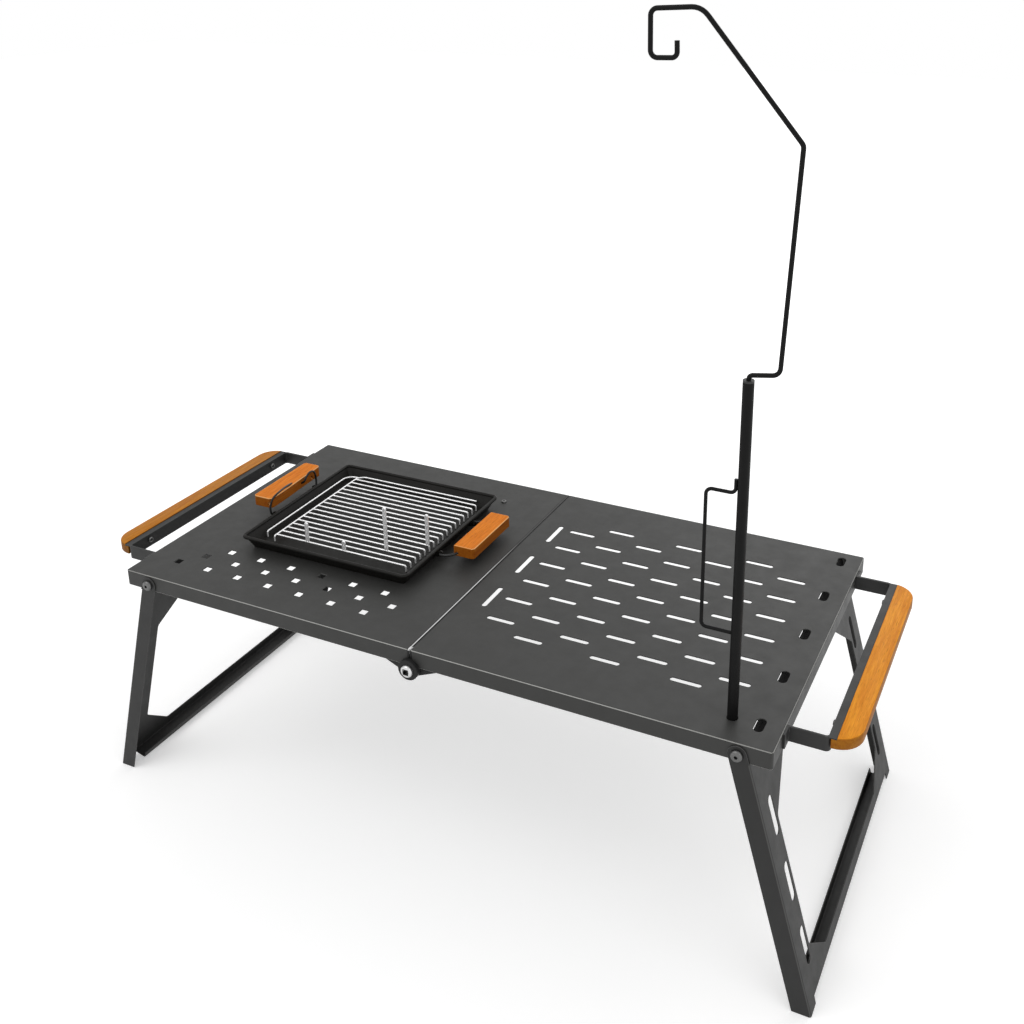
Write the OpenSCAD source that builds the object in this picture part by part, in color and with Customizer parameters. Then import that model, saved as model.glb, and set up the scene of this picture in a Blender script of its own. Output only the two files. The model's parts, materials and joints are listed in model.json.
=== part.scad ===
// Low folding camp table in two tray-shaped halves, with a carry handle at each end,
// folding sheet legs, a lift-out lantern pole, and a roasting pan with a wire rack.
// Millimetres, +Z up. The origin is on the floor, under the middle of the centre split.

/* [Table top] */
// Length of each half, from the split to the end rim
half_l = 450; // [400:5:500]
// Depth of the table, front to back
top_w = 450; // [430:5:500]
// Height of the table top over the floor
table_h = 335; // [310:2.5:370]
// Thickness of the sheet that the halves are folded from
sheet_t = 1.5; // [1:0.25:2]
// Height of the turned-down rims
rim_h = 22; // [20:1:25]
// Radius of the top's corners, seen from above
corner_r = 4; // [3:0.5:8]
// Radius of the folded top edge
edge_r = 2; // [1:0.25:2.5]
// Gap between the two halves at the split
split_gap = 0.6; // [0.4:0.1:1.5]
// Depth of the flange along the split
split_flange_h = 14; // [8:1:16]
// Side of the square holes in the left half
square_s = 10; // [6:0.5:14]
// Width of the slots in the right half
slot_w = 6.5; // [5:0.5:8]
// Length of the slots in the right half
slot_l = 38; // [25:1:44]
// Width of the oblong holes along the right end
oblong_w = 11; // [8:0.5:13]
// Length of the oblong holes along the right end
oblong_l = 24; // [16:1:40]

/* [Centre hinge] */
// Diameter of the hinge boss
boss_d = 27; // [24:0.5:30]
// Thickness of the hinge boss
boss_t = 6.5; // [4:0.5:9]
// Diameter of the hinge bolt's shank
hinge_bolt_d = 8; // [6:0.5:9]
// Thickness of the hinge ears
ear_t = 2; // [1.5:0.25:2.5]
// Radius of the hinge ears round the bolt
ear_r = 12.5; // [10:0.5:13]

/* [Legs] */
// Angle by which the legs lean out from the vertical
leg_splay = 15.5; // [10:0.5:18]
// Distance from the end rim to the leg's outer bend, at the height of the top
leg_inset = 30.9; // [28:0.5:40]
// Thickness of the leg sheet
leg_t = 1.5; // [1.25:0.25:2]
// Width of the flanges along the leg's sides
flange_w = 22.4; // [20:0.4:26]
// Width of each upright
upright_w = 42; // [36:1:60]
// Radius of the leg's bends, outside
bend_r = 3; // [2.5:0.5:4]
// Height of the web under the top, measured from the pivot
web_h = 53.5; // [35:0.5:70]
// Height of the slanted corners under the web
knee_h = 50; // [30:1:60]
// Width of the slanted corners under the web
knee_w = 61; // [40:1:80]
// Width of the slanted corners over the rail
heel_w = 46; // [30:1:60]
// Height of the rail at the bottom of the leg
rail_h = 16.5; // [12:0.5:24]
// Height of the turned-up lip of the rail
lip_h = 9.5; // [5:0.5:12]
// Height of the rail over the floor
foot_h = 7.5; // [4:0.5:12]
// Width of each foot, seen from the end
foot_w = 22; // [16:1:36]
// Width of the slots in the uprights
leg_slot_w = 12; // [8:0.5:16]
// Distance of the slots from the leg's side
leg_slot_inset = 31; // [28:0.5:36]
// Length of the slots in the uprights
leg_slot_l = 48.5; // [30:0.5:60]
// Distance from one slot in the uprights to the next
leg_slot_pitch = 85; // [74:0.5:88]
// Diameter of the leg bolts' shanks
leg_bolt_d = 6; // [5:0.5:7]

/* [Carry handles] */
// Distance between the two arms of a handle, outside
handle_span = 347; // [280:1:380]
// Gap for the fingers, from the end rim to the bar
finger_gap = 45.5; // [38:0.5:60]
// Thickness of the handle strap
strap_t = 3; // [2:0.5:4]
// Height of the handle strap
strap_h = 19; // [17:0.5:20]
// Width of the bar's top flange
bar_flange_w = 9.5; // [6:0.5:14]
// Thickness of the bar's top flange
bar_flange_t = 2; // [1.5:0.5:3]
// Width of the wooden grip beyond the bar's top flange
grip_w = 24.5; // [18:0.5:34]
// Height of the wooden grip
grip_h = 15.5; // [12:0.5:18]
// Radius of the grip's outer corners
grip_r = 29; // [10:1:30]
// Distance between the two screws of a grip
grip_screw_span = 270; // [160:2:290]

/* [Lantern pole] */
// Distance of the pole from the end rim
pole_inset = 58; // [56:1:110]
// Distance of the pole from the middle of the table, towards the front
pole_y = 185; // [150:1:200]
// Diameter of the pole tube
pole_d = 12; // [10:0.5:14]
// Wall of the pole tube
pole_wall = 1; // [0.8:0.1:1.5]
// Height of the pole tube over the table top
pole_h = 395; // [320:1:450]
// Diameter of the hanger rod
rod_d = 5; // [4:0.5:6]
// Diameter of the side loop's wire
loop_d = 4; // [3:0.5:5]
// Height of the side loop's lower end over the table top
loop_low = 106; // [60:1:140]
// Height of the side loop's upper corner over the table top
loop_high = 271; // [220:1:290]
// Reach of the side loop from the pole's centre
loop_reach = 40; // [30:0.5:60]

/* [Pan and rack] */
// Length of the pan over its rim
pan_l = 271; // [240:1:280]
// Depth of the pan over its rim
pan_w = 257; // [232:1:262]
// Height of the pan
pan_h = 20; // [15:0.5:26]
// Slope of the pan's walls: how much wider each side is at the rim
pan_flare = 11.5; // [8:0.5:14]
// Wall of the pan
pan_t = 1.2; // [1:0.1:2]
// Diameter of the pan's rolled rim
pan_rim_d = 5; // [4:0.5:6]
// Turn of the pan on the table
pan_turn = 0.5; // [0:0.1:5]
// Diameter of the rack's wires
rack_d = 2.3; // [2:0.1:3.2]
// Height of the rack's cross wires over the table top
rack_z = 10; // [8:0.5:12]
// Number of cross wires
rack_n = 17; // [12:1:18]
// Diameter of the bails' wire
bail_d = 3.5; // [3:0.25:4]
// Length of a bail from its pivot to its bar
bail_l = 24; // [21:1:26]
// Distance between the two legs of a bail
bail_w = 104; // [80:1:120]
// Width of the wooden blocks
block_w = 32; // [28:0.5:36]
// Length of the left wooden block
left_block_l = 122; // [110:1:128]
// Length of the right wooden block
right_block_l = 106; // [100:1:120]
// Height of the wooden blocks
block_h = 15.5; // [12:0.5:16]

/* [Fits] */
// Radial clearance of a shaft that turns or slides in its hole
run_fit = 0.08; // [0.04:0.01:0.1]
// Gap between two pieces that move past each other
side_gap = 0.3; // [0.2:0.05:0.5]
// Gap between a leg's flange and the rim it turns beside
flange_gap = 0.4; // [0.3:0.05:0.6]

/* [Hidden] */
$fn = 48;

over = 1;
slice_t = 0.1;
half_w = top_w / 2;
rim_in = half_w - sheet_t;
rim_out = half_w;

// Leg geometry: n is measured outwards from the pivot, w down along the leg
leg_off = flange_w / 2;
fold_gap = 1.2;
pivot_drop = rim_h + fold_gap + leg_t - leg_off;
hinge_drop = pivot_drop + leg_off + side_gap;
foot_drop = pivot_drop - leg_off * sin(leg_splay);
pivot_x = half_l - leg_inset + foot_drop * tan(leg_splay) - leg_off * cos(leg_splay);
pivot_z = table_h - pivot_drop;
leg_len = (table_h - foot_drop) / cos(leg_splay);
rail_w = (table_h - foot_h - foot_drop) / cos(leg_splay);
tab_w = (foot_drop - sheet_t - side_gap) / cos(leg_splay);
rim_cut_w = 12;
leg_in = half_w + flange_gap;
leg_out = leg_in + leg_t;
leg_slot_w0 = 96;

hinge_z = table_h - hinge_drop;
hinge_bolt_r = hinge_bolt_d / 2;
leg_bolt_r = leg_bolt_d / 2;

// Places of the holes in the left half, from the split and from the middle
square_pitch = (half_l - 147) / 6;
square_rows = [[128.5, 99, 6], [152, 73, 7], [178, 98.5, 7]];
top_screw_x = 81;
top_screw_y = 163;

// Places of the slots in the right half
slot_pitch_x = (half_l - 144) / 6;
slot_pitch_y = (top_w - 157.2) / 12;
slot_x0 = 68.5;
slot_y0 = 146.5;
slot_rows = 13;
cross_slot_x = 32.5;
cross_slot_l = 49;
cross_slot_ys = [106, 13, -78];
oblong_x = half_l - 26.5;
oblong_pitch = 96;
oblong_n = 5;

// Carry handle, measured from the end rim's outer face
bar_x = half_l + finger_gap;
arm_l = finger_gap + strap_t;
handle_drop = 1;
strap_r = 6;
pad_l = 15;
grip_x = bar_x + strap_t + side_gap;
grip_out = bar_x + bar_flange_w + grip_w;
grip_len = handle_span - 1;

// Lantern pole
pole_x = half_l - pole_inset;
pole_r = pole_d / 2;
socket_l = 18;
socket_wall = 3;
socket_foot = 2;
bush_l = 40;
bush_cap = 2;
rod_r = rod_d / 2;

// Pan, in its own frame: origin under its middle, on the table top
pan_x = -213;
pan_y = 15;
pan_r = 10;
pan_lift = side_gap;
eye_x = pan_l / 2 + 4;
eye_z = 13.5;
eye_r = 4;
weld_gap = 0.02;
eye_t = 2;
bail_r = bail_d / 2;
rack_r = rack_d / 2;

// Points of an arc about c, from angle a to angle b
function arc(c, r, a, b, n = 6) = [for (i = [0:n]) c + r * [cos(a + (b - a) * i / n), sin(a + (b - a) * i / n)]];

// Corners of a rectangle with rounded corners, centred
function round_rect(l, w, r, n = 8) = concat(
  arc([l / 2 - r, w / 2 - r], r, 0, 90, n), arc([r - l / 2, w / 2 - r], r, 90, 180, n),
  arc([r - l / 2, r - w / 2], r, 180, 270, n), arc([l / 2 - r, r - w / 2], r, 270, 360, n));

// The arc that rounds the corner at b between the points a and c
function unit(v) = v / norm(v);
function turn(u, v) = atan2(u[0] * v[1] - u[1] * v[0], u[0] * v[0] + u[1] * v[1]);
function heading(v) = atan2(v[1], v[0]);
function fillet(a, b, c, r, n = 6) =
  let (u = unit(b - a), v = unit(c - b), t = turn(u, v), d = r * tan(abs(t) / 2), s = sign(t),
       m = b - d * u + s * r * [-u[1], u[0]], h = heading(u) - s * 90)
  [for (i = [0:n]) m + r * [cos(h + t * i / n), sin(h + t * i / n)]];
function rounded(p, r, n = 6) =
  [for (i = [0:len(p) - 1]) each fillet(p[(i + len(p) - 1) % len(p)], p[i], p[(i + 1) % len(p)], r, n)];

// A slot with round ends along X, centred
module slot2(l, w) {
  square([l - w, w], center = true);
  for (s = [-1, 1]) translate([s * (l - w) / 2, 0]) circle(d = w);
}

// A folded U section: web from 0 to w along X, legs up by ha and hb
module u_section(w, ha, hb, t, r) {
  polygon(concat(
    [[0, ha]], arc([r, r], r, 180, 270), arc([w - r, r], r, 270, 360), [[w, hb], [w - t, hb]],
    arc([w - r, r], r - t, 360, 270), arc([r, r], r - t, 270, 180), [[t, ha]]));
}

// A round rod bent in the XY plane through the points p, with a bend radius for each inner point
module bent_rod(p, radii, r) {
  last = len(p) - 1;
  cut = [for (i = [0:last]) i == 0 || i == last ? 0
    : radii[i - 1] * tan(abs(turn(p[i] - p[i - 1], p[i + 1] - p[i])) / 2)];
  for (i = [0:last - 1]) {
    u = unit(p[i + 1] - p[i]);
    l = norm(p[i + 1] - p[i]) - cut[i] - cut[i + 1];
    if (l > 0.01)
      translate(concat(p[i] + cut[i] * u, [0])) rotate([0, 0, heading(u)]) rotate([0, 90, 0]) cylinder(h = l, r = r);
  }
  for (i = [1:last - 1]) {
    u = unit(p[i] - p[i - 1]);
    t = turn(u, p[i + 1] - p[i]);
    s = sign(t);
    b = radii[i - 1];
    m = p[i] - cut[i] * u + s * b * [-u[1], u[0]];
    h = heading(u) - s * 90;
    translate(concat(m, [0])) rotate([0, 0, t > 0 ? h : h + t]) rotate_extrude(angle = abs(t)) translate([b, 0]) circle(r = r);
  }
}

// The centre line of a rod in a plane, bent at each inner point of p by the given radii
function bent_path(p, radii) = concat([p[0]],
  [for (i = [1:len(p) - 2]) each fillet(p[i - 1], p[i], p[i + 1], radii[i - 1], ceil(abs(turn(p[i] - p[i - 1], p[i + 1] - p[i])) / 11))],
  [p[len(p) - 1]]);

// A rod swept along a centre line in the XY plane
module swept_rod(path, r, sides = 16) {
  last = len(path) - 1;
  function side(i) = let (a = unit(path[i] - path[max(i - 1, 0)] + (i == 0 ? path[1] - path[0] : [0, 0])),
    b = unit(path[min(i + 1, last)] - path[i] + (i == last ? path[last] - path[last - 1] : [0, 0])), m = unit(a + b))
    [-m[1], m[0]] / (a * m);
  points = [for (i = [0:last], k = [0:sides - 1]) concat(path[i] + r * cos(360 * k / sides) * side(i), [r * sin(360 * k / sides)])];
  walls = [for (i = [0:last - 1], k = [0:sides - 1]) let (a = i * sides, n = (k + 1) % sides)
    [a + k, a + sides + k, a + sides + n, a + n]];
  polyhedron(points, concat([[for (k = [0:sides - 1]) k]], walls, [[for (k = [sides - 1:-1:0]) last * sides + k]]), convexity = 6);
}

// A socket-head bolt along +Y: dome head at -Y, its seat at y = 0
module socket_bolt(head_d, head_h, shank_d, shank_l, key) {
  rotate([-90, 0, 0]) {
    cylinder(h = shank_l, d = shank_d);
    difference() {
      rotate([180, 0, 0]) rotate_extrude()
        polygon(concat([[0, 0], [head_d / 2, 0]], arc([head_d / 2 - head_h * 0.7, head_h * 0.3], head_h * 0.7, 0, 90), [[0, head_h]]));
      translate([0, 0, -head_h - over]) cylinder(h = head_h * 0.75 + over, d = key, $fn = 6);
    }
  }
}

// A hexagon nut along +Y, its seat at y = 0
module hex_nut(width, h, bore) {
  rotate([-90, 0, 0]) difference() {
    cylinder(h = h, d = width / cos(30), $fn = 6);
    translate([0, 0, -over]) cylinder(h = h + 2 * over, d = bore);
  }
}

// Cuts the round of a folded edge of length l along +X, its corner at the origin
module edge_cut(l) {
  translate([-over, 0, 0]) rotate([90, 0, 90]) linear_extrude(l + 2 * over)
    polygon(concat([[over, over], [-edge_r, over]], arc([-edge_r, -edge_r], edge_r, 90, 0), [[over, -edge_r]]));
}

// One half of the top, lying along +X from the split, its top face at z = 0
module tray() {
  x0 = split_gap / 2;
  difference() {
    translate([0, 0, -rim_h]) linear_extrude(rim_h)
      polygon(concat([[x0, -rim_out]], arc([half_l - corner_r, corner_r - rim_out], corner_r, 270, 360),
        arc([half_l - corner_r, rim_out - corner_r], corner_r, 0, 90), [[x0, rim_out]]));
    translate([0, 0, -rim_h - over]) linear_extrude(rim_h + over - sheet_t)
      polygon(concat([[x0 + sheet_t, -rim_in]], arc([half_l - corner_r, corner_r - rim_out], corner_r - sheet_t, 270, 360),
        arc([half_l - corner_r, rim_out - corner_r], corner_r - sheet_t, 0, 90), [[x0 + sheet_t, rim_in]]));
    translate([-over, -rim_in, -rim_h - over]) cube([x0 + sheet_t + 2 * over, 2 * rim_in, rim_h + over - split_flange_h]);
    for (s = [-1, 1]) {
      translate([-over, s > 0 ? half_w - 17 : -rim_in, -rim_h - over])
        cube([x0 + sheet_t + 2 * over, 17 - sheet_t, rim_h + over - sheet_t]);
      translate([0, s * (rim_out + over), -hinge_drop]) rotate([s * 90, 0, 0])
        cylinder(h = sheet_t + 2 * over, r = hinge_bolt_r + 0.5);
      translate([pivot_x, s * (rim_out + over), -pivot_drop]) rotate([s * 90, 0, 0])
        cylinder(h = sheet_t + 2 * over, r = leg_bolt_r + run_fit);
    }
    translate([0, half_w, 0]) edge_cut(half_l);
    translate([0, -half_w, 0]) mirror([0, 1, 0]) edge_cut(half_l);
    translate([half_l, half_w, 0]) rotate([0, 0, -90]) edge_cut(top_w);
  }
}

module square_holes() {
  for (row = square_rows) for (i = [0:row[2] - 1])
    translate([-row[1] - square_pitch * i, -row[0]]) square(square_s, center = true);
}

module slot_field() {
  for (r = [0:slot_rows - 1]) for (c = [(r + 1) % 2:2:6])
    translate([slot_x0 + slot_pitch_x * c, slot_y0 - slot_pitch_y * r]) slot2(slot_l, slot_w);
  for (y = cross_slot_ys) translate([cross_slot_x, y]) rotate(90) slot2(cross_slot_l, slot_w);
  for (i = [0:oblong_n - 1])
    translate([oblong_x, 6.5 + oblong_pitch * (i - (oblong_n - 1) / 2)]) rotate(90) slot2(oblong_l, oblong_w);
}

module top_left() {
  color("#4b4b49") difference() {
    translate([0, 0, table_h]) mirror([1, 0, 0]) tray();
    translate([0, 0, table_h - sheet_t - over]) linear_extrude(sheet_t + 2 * over) square_holes();
    translate([-top_screw_x, top_screw_y, table_h - sheet_t - over]) cylinder(h = sheet_t + 2 * over, d = 4.2);
  }
}

module top_right() {
  color("#4b4b49") difference() {
    translate([0, 0, table_h]) tray();
    translate([0, 0, table_h - sheet_t - over]) linear_extrude(sheet_t + 2 * over) slot_field();
    translate([pole_x, -pole_y, table_h - sheet_t - over]) cylinder(h = sheet_t + 2 * over, r = pole_r + side_gap);
  }
}

module top_screw() {
  color("silver") translate([-top_screw_x, top_screw_y, table_h]) {
    rotate([-90, 0, 0]) socket_bolt(8, 2.4, 4, 0.01, 2.5);
    translate([0, 0, -5]) cylinder(h = 5, d = 4);
  }
}

// Ear of the hinge: a disc round the bolt with a strap along the rim, drawn along +X
module ear_outline() {
  polygon(concat(arc([0, 0], ear_r, 290, 110, 24), [[4, hinge_drop - 5], [50, hinge_drop - 5], [50, hinge_drop - 17]]));
}

// Lays an outline in the XZ plane at the hinge, from depth y0 inwards by t, on the side s
module hinge_layer(s, y0, t) {
  translate([0, s > 0 ? y0 : t - y0, hinge_z]) rotate([90, 0, 0]) linear_extrude(t) children();
}

module ear_left(s) {
  color("#3c3c3b") difference() {
    hinge_layer(s, rim_in, ear_t) mirror([1, 0]) ear_outline();
    translate([0, s * (rim_in + over), hinge_z]) rotate([s * 90, 0, 0]) cylinder(h = ear_t + 2 * over, r = hinge_bolt_r + run_fit);
  }
}

module ear_right(s) {
  color("#3c3c3b") difference() {
    union() {
      hinge_layer(s, rim_in - ear_t - side_gap, ear_t) ear_outline();
      hinge_layer(s, rim_in, ear_t + side_gap) difference() {
        ear_outline();
        circle(r = ear_r + 1);
        translate([-ear_r, -ear_r]) square([ear_r + 5, 2 * hinge_drop]);
      }
    }
    translate([0, s * (rim_in + over), hinge_z]) rotate([s * 90, 0, 0])
      cylinder(h = 2 * ear_t + side_gap + 2 * over, r = hinge_bolt_r + run_fit);
  }
}

module hinge_ear_left_front() { ear_left(-1); }
module hinge_ear_left_rear() { ear_left(1); }
module hinge_ear_right_front() { ear_right(-1); }
module hinge_ear_right_rear() { ear_right(1); }

module boss(s) {
  color("#333333") translate([0, s * (rim_out + side_gap), hinge_z]) rotate([-s * 90, 0, 0]) rotate_extrude()
    polygon(concat([[hinge_bolt_r + run_fit, 0], [boss_d / 2, 0]], arc([boss_d / 2 - 1.5, boss_t - 1.5], 1.5, 0, 90),
      [[hinge_bolt_r + run_fit, boss_t]]));
}
module hinge_boss_front() { boss(-1); }
module hinge_boss_rear() { boss(1); }

// Repeats a piece at the front and, turned about, at the rear
module front_and_rear() {
  children();
  mirror([0, 1, 0]) children();
}

module hinge_bolts() {
  color("silver") front_and_rear() translate([0, -rim_out - side_gap - boss_t, hinge_z])
    socket_bolt(16, 4, hinge_bolt_d, boss_t + 2 * side_gap + sheet_t + 2 * ear_t + side_gap + 8, 9);
}

module hinge_nuts() {
  color("silver") front_and_rear() translate([0, -rim_in + 2 * ear_t + 2 * side_gap, hinge_z]) hex_nut(13, 6, hinge_bolt_d + 0.1);
}

// One leg in its own frame: pivot on the Y axis, n along +X, w down along -Z
module leg_sheet(slots) {
  opening_y = leg_out - upright_w;
  knee_y = opening_y - knee_w;
  heel_y = opening_y - heel_w;
  rail_top = rail_w - rail_h;
  foot_y = leg_out - foot_w;
  heel_h = heel_w * 0.85;
  difference() {
    translate([leg_off, -leg_out, -leg_len - 20]) rotate([0, 0, 90]) linear_extrude(leg_len + 20 - rim_cut_w)
      u_section(2 * leg_out, flange_w, flange_w, leg_t, bend_r);
    translate([leg_off + over, 0, 0]) rotate([0, -90, 0]) linear_extrude(leg_t + 2 * over)
      polygon(rounded([
        [-web_h, -knee_y], [-web_h, knee_y], [-web_h - knee_h, opening_y], [heel_h - rail_top, opening_y],
        [-rail_top, heel_y], [-rail_top, -heel_y], [heel_h - rail_top, -opening_y], [-web_h - knee_h, -opening_y]], 7));
    if (slots) for (s = [-1, 1], i = [0:2])
      translate([leg_off + over, s * (leg_out - leg_slot_inset), -leg_slot_w0 - leg_slot_pitch * i]) rotate([0, -90, 0])
        linear_extrude(leg_t + 2 * over) slot2(leg_slot_l, leg_slot_w);
    translate([-leg_off - over, -foot_y, -leg_len - 21]) cube([flange_w + 2 * over, 2 * foot_y, leg_len + 21 - rail_w + bend_r]);
  }
  translate([-leg_off, foot_y, -rail_w]) rotate([90, 0, 0]) linear_extrude(2 * foot_y)
    u_section(flange_w, lip_h, rail_h, leg_t, bend_r);
  tab_y = rim_in - 3.5;
  translate([leg_off - leg_t, -tab_y, -rim_cut_w]) cube([leg_t, 2 * tab_y, rim_cut_w + tab_w]);
  for (s = [-1, 1]) difference() {
    translate([0, s > 0 ? leg_out : leg_t - leg_out, 0]) rotate([90, 0, 0]) linear_extrude(leg_t) {
      circle(r = leg_off);
      translate([-leg_off, -rim_cut_w]) square([flange_w, rim_cut_w]);
    }
    translate([0, s * (leg_out + over), 0]) rotate([s * 90, 0, 0]) cylinder(h = leg_t + 2 * over, r = leg_bolt_r + run_fit);
  }
}

// A leg in its place at the right end, leaning out and cut level at the floor
module standing_leg(slots) {
  color("#646463") difference() {
    translate([pivot_x, 0, pivot_z]) rotate([0, -leg_splay, 0]) leg_sheet(slots);
    translate([half_l - 100, -half_w - 10, -60]) cube([300, top_w + 20, 60]);
  }
}
module leg_right() { standing_leg(true); }
module leg_left() { mirror([1, 0, 0]) standing_leg(false); }

module leg_bolts_right() {
  color("silver") front_and_rear() translate([pivot_x, -leg_out - side_gap, pivot_z])
    socket_bolt(14, 4.5, leg_bolt_d, side_gap + leg_t + flange_gap + sheet_t + 6, 4.5);
}
module leg_bolts_left() { mirror([1, 0, 0]) leg_bolts_right(); }

module leg_nuts_right() {
  color("silver") front_and_rear() translate([pivot_x, -rim_in, pivot_z]) hex_nut(10, 5, leg_bolt_d + 0.1);
}
module leg_nuts_left() { mirror([1, 0, 0]) leg_nuts_right(); }

// Steel bracket of a carry handle: feet on the rim, arms, bar with a top flange
module handle_bracket_right() {
  z0 = table_h - handle_drop - strap_h;
  color("#484847") difference() {
    union() {
      translate([half_l + arm_l, -handle_span / 2, z0]) rotate([0, 0, 90]) linear_extrude(strap_h)
        u_section(handle_span, arm_l, arm_l, strap_t, strap_r);
      for (s = [-1, 1]) translate([half_l, s > 0 ? handle_span / 2 - strap_t : -handle_span / 2 - pad_l, z0])
        cube([strap_t, pad_l + strap_t, strap_h]);
      translate([bar_x + strap_t - bar_flange_t, 1 - handle_span / 2, z0 + strap_h - bar_flange_t])
        cube([bar_flange_w - strap_t + bar_flange_t, handle_span - 2, bar_flange_t]);
    }
    for (s = [-1, 1]) translate([bar_x - over, s * grip_screw_span / 2, table_h - grip_h / 2 - 2]) rotate([0, 90, 0])
      cylinder(h = strap_t + 2 * over, d = 4.2);
  }
}
module handle_bracket_left() { mirror([1, 0, 0]) handle_bracket_right(); }

// A slice of the grip's outline, drawn in by e at its edges
module grip_slice(e, z) {
  x1 = grip_out - e;
  y1 = grip_len / 2 - e;
  r = grip_r - e;
  translate([0, 0, z]) linear_extrude(slice_t)
    polygon(concat([[grip_x + e, -y1]], arc([x1 - r, r - y1], r, 270, 360, 8), arc([x1 - r, y1 - r], r, 0, 90, 8), [[grip_x + e, y1]]));
}

module grip_right() {
  e = 2;
  color("#dc8c28") difference() {
    hull() {
      grip_slice(e, table_h - grip_h);
      grip_slice(e * 0.3, table_h - grip_h + e * 0.4);
      grip_slice(0, table_h - grip_h + e);
      grip_slice(0, table_h - e);
      grip_slice(e * 0.3, table_h - e * 0.4);
      grip_slice(e, table_h - slice_t);
    }
    translate([bar_x, -grip_len / 2 - over, table_h - handle_drop - bar_flange_t - side_gap])
      cube([bar_flange_w + side_gap, grip_len + 2 * over, 20]);
    for (s = [-1, 1]) translate([grip_x - over, s * grip_screw_span / 2, table_h - grip_h / 2 - 2]) rotate([0, 90, 0])
      cylinder(h = 16 + over, d = 4.1);
  }
}
module grip_left() { mirror([1, 0, 0]) grip_right(); }

module grip_screws_right() {
  color("silver") for (s = [-1, 1]) translate([bar_x, s * grip_screw_span / 2, table_h - grip_h / 2 - 2]) rotate([0, 0, -90])
    socket_bolt(8, 3, 4, strap_t + 14, 2.5);
}
module grip_screws_left() { mirror([1, 0, 0]) grip_screws_right(); }

// Puts a piece at the pole, z measured from the table top
module at_pole() {
  translate([pole_x, -pole_y, table_h]) children();
}

module pole_socket() {
  color("#3c3c3b") at_pole() difference() {
    translate([0, 0, -sheet_t - socket_l]) cylinder(h = socket_l, r = pole_r + socket_wall);
    translate([0, 0, -sheet_t - socket_l + socket_foot]) cylinder(h = socket_l, r = pole_r + run_fit);
    translate([0, 0, -sheet_t - socket_l - over]) cylinder(h = socket_l, d = 4);
  }
}

module pole_tube() {
  z0 = -sheet_t - socket_l + socket_foot + side_gap;
  color("#2b2b2b") at_pole() difference() {
    translate([0, 0, z0]) cylinder(h = pole_h - z0, r = pole_r);
    translate([0, 0, z0 - over]) cylinder(h = pole_h - z0 + 2 * over, r = pole_r - pole_wall);
  }
}

module pole_bush() {
  color("#262626") at_pole() difference() {
    union() {
      translate([0, 0, pole_h - bush_l]) cylinder(h = bush_l, r = pole_r - pole_wall - 0.03);
      translate([0, 0, pole_h]) cylinder(h = bush_cap, r = pole_r);
    }
    translate([0, 0, pole_h - bush_l + 3]) cylinder(h = bush_l + bush_cap, r = rod_r + run_fit);
  }
}

module pole_loop() {
  loop_r = loop_d / 2;
  x0 = -pole_r - loop_r - 0.02;
  color("#2b2b2b") at_pole() rotate([90, 0, 0])
    bent_rod([[x0, loop_high + 16], [x0, loop_high], [-loop_reach, loop_high], [-loop_reach, loop_low], [-pole_r - 0.05, loop_low]],
      [6, 7, 6], loop_r);
}

// Hanger rod over the pole, its corners measured from the pole's axis and the tube's top
rod_corners = [[0, 2], [0, 7], [31.2, 11.5], [41.2, 237.5], [-61.3, 357.5], [-111.3, 354.7], [-110.8, 309.7], [-83.8, 310.7], [-84.3, 326.5]];
rod_bends = [4.5, 9, 8, 20, 7, 7, 5.5];
module hanger_rod() {
  color("#2b2b2b") at_pole() translate([0, 0, pole_h]) {
    translate([0, 0, 3.3 - bush_l]) cylinder(h = bush_l, r = rod_r);
    rotate([90, 0, 0]) swept_rod(bent_path(rod_corners, rod_bends), rod_r * 0.995);
  }
}

// Puts a piece in the pan's frame
module at_pan() {
  translate([pan_x, pan_y, table_h + pan_lift]) rotate([0, 0, pan_turn]) children();
}

module pan_slice(l, w, r, z) {
  translate([0, 0, z]) linear_extrude(slice_t) polygon(round_rect(l, w, r));
}

module pan() {
  rr = pan_rim_d / 2;
  rz = pan_h - rr;
  l1 = pan_l - pan_rim_d;
  w1 = pan_w - pan_rim_d;
  r1 = pan_r - rr;
  color("#262422") at_pan() {
    difference() {
      hull() {
        pan_slice(pan_l - 2 * pan_flare, pan_w - 2 * pan_flare, pan_r / 2, 0);
        pan_slice(l1, w1, r1, rz);
      }
      hull() {
        pan_slice(pan_l - 2 * pan_flare - 2 * pan_t, pan_w - 2 * pan_flare - 2 * pan_t, pan_r / 2 - pan_t, pan_t);
        pan_slice(l1 - 2 * pan_t, w1 - 2 * pan_t, r1 - pan_t, rz + slice_t / 2);
      }
    }
    translate([0, 0, rz]) rounded_ring(l1, w1, r1, rr);
  }
}

// A round bar bent into a rounded rectangle
module rounded_ring(l, w, r, rod) {
  for (s = [-1, 1]) {
    translate([r - l / 2, s * w / 2, 0]) rotate([0, 90, 0]) cylinder(h = l - 2 * r, r = rod);
    translate([s * l / 2, r - w / 2, 0]) rotate([-90, 0, 0]) cylinder(h = w - 2 * r, r = rod);
  }
  for (q = [0:3]) {
    sx = q == 0 || q == 3 ? 1 : -1;
    sy = q < 2 ? 1 : -1;
    translate([sx * (l / 2 - r), sy * (w / 2 - r), 0]) rotate([0, 0, 90 * q]) rotate_extrude(angle = 90) translate([r, 0]) circle(r = rod);
  }
}

// How far the pan's sloping wall lies from the middle of an eye, at the height z over that middle
function eye_reach(z) = eye_x - pan_l / 2 + pan_flare - weld_gap
  - (pan_flare - pan_rim_d / 2) * (eye_z + z) / (pan_h - pan_rim_d / 2);

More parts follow.
